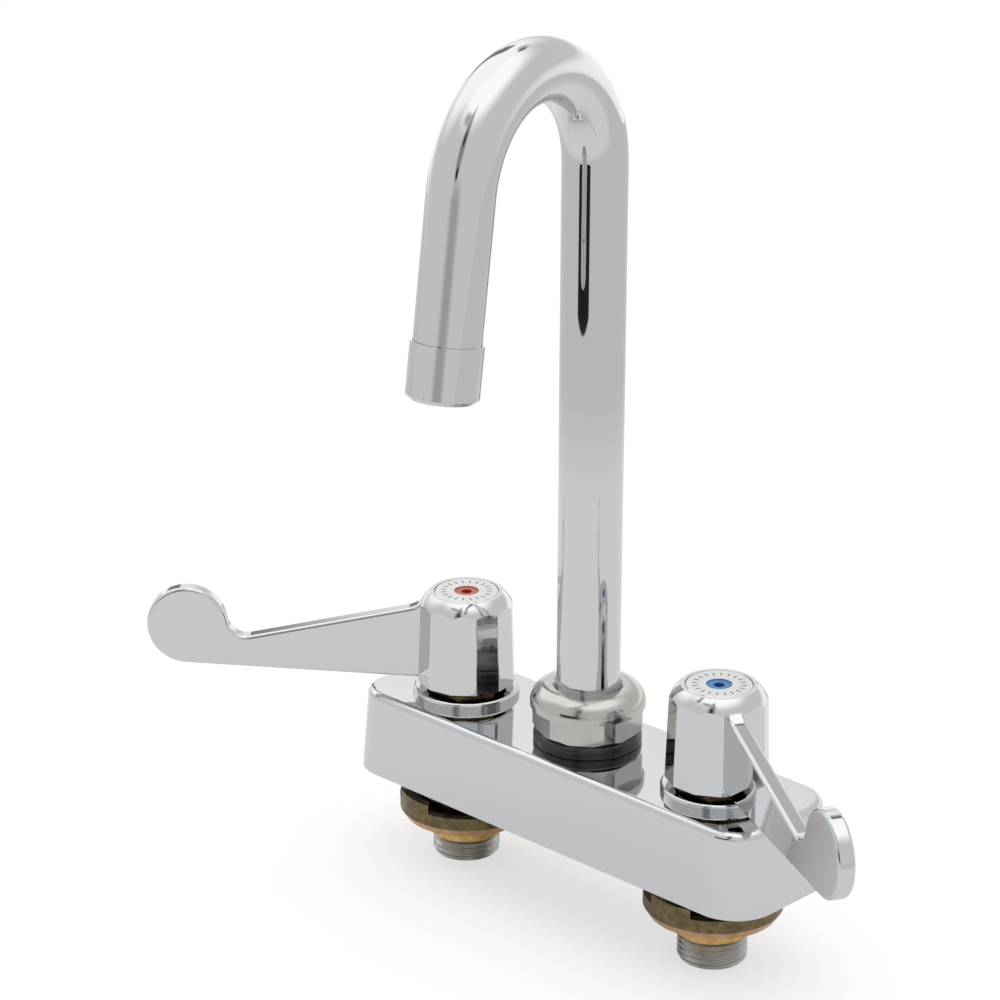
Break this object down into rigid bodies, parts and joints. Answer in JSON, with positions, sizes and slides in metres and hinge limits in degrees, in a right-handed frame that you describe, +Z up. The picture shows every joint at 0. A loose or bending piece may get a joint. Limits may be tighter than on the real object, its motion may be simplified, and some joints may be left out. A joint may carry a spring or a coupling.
{
  "type": "deck-mount gooseneck faucet",
  "caption": "Two-handle deck-mount faucet with a swivelling gooseneck spout, wrist-blade handles, quarter-turn cartridges and threaded inlet shanks with locknuts.",
  "frame": {"origin": "middle of the body's underside, on the deck, under the spout's axis", "axes": "+Z up along the riser, +X from the hot valve to the cold valve, -Y towards the front of the sink"},
  "size_m": [0.264, 0.1062, 0.2731],
  "materials": {
    "chrome": "mirror polished chrome plate",
    "cap_chrome": "bright chrome plate",
    "satin_nickel": "satin nickel plate",
    "shank_metal": "dull plated thread",
    "locknut_brass": "aged dark brass with bright turned edges",
    "bright_brass": "turned brass",
    "ceramic_disc": "lapped ceramic",
    "rubber_seal": "moulded black rubber",
    "black_ring": "smooth black",
    "white_plastic": "moulded white",
    "steel": "stainless steel",
    "index_red": "gloss red",
    "index_blue": "gloss blue"
  },
  "bodies": {
    "root": {"valve_body": "chrome", "hot_shank": "shank_metal", "cold_shank": "shank_metal", "hot_locknut": "locknut_brass", "cold_locknut": "locknut_brass", "hot_seat_seal": "rubber_seal", "cold_seat_seal": "rubber_seal", "hot_fixed_disc": "ceramic_disc", "cold_fixed_disc": "ceramic_disc", "hot_cartridge": "bright_brass", "cold_cartridge": "bright_brass", "hot_cartridge_oring": "rubber_seal", "cold_cartridge_oring": "rubber_seal", "hot_escutcheon_ring": "chrome", "cold_escutcheon_ring": "chrome", "spout_base_ring": "black_ring", "spout_nut": "satin_nickel", "swivel_washer": "white_plastic"},
    "spout": {"spout_tube": "chrome", "spout_ferrule": "bright_brass", "spout_orings": "rubber_seal", "aerator_housing": "chrome", "aerator_washer": "rubber_seal", "aerator_insert": "white_plastic", "aerator_screen": "steel"},
    "hot_control": {"hot_handle": "chrome", "hot_stem": "bright_brass", "hot_stem_oring": "rubber_seal", "hot_moving_disc": "ceramic_disc", "hot_stem_clip": "steel", "hot_handle_screw": "steel", "hot_cap": "cap_chrome", "hot_index_ring": "index_red"},
    "cold_control": {"cold_handle": "chrome", "cold_stem": "bright_brass", "cold_stem_oring": "rubber_seal", "cold_moving_disc": "ceramic_disc", "cold_stem_clip": "steel", "cold_handle_screw": "steel", "cold_cap": "cap_chrome", "cold_index_ring": "index_blue"}
  },
  "joints": [
    {"name": "spout_swivel", "type": "hinge", "parent": "root", "child": "spout", "pos_m": [0, 0, 0.03], "axis": [0, 0, 1], "continuous": true},
    {"name": "hot_handle_turn", "type": "hinge", "parent": "root", "child": "hot_control", "pos_m": [-0.0508, 0, 0.045], "axis": [0, 0, 1], "range_deg": [-40.9, 49.1]},
    {"name": "cold_handle_turn", "type": "hinge", "parent": "root", "child": "cold_control", "pos_m": [0.0508, 0, 0.045], "axis": [0, 0, 1], "range_deg": [-60.9, 29.1]}
  ]
}
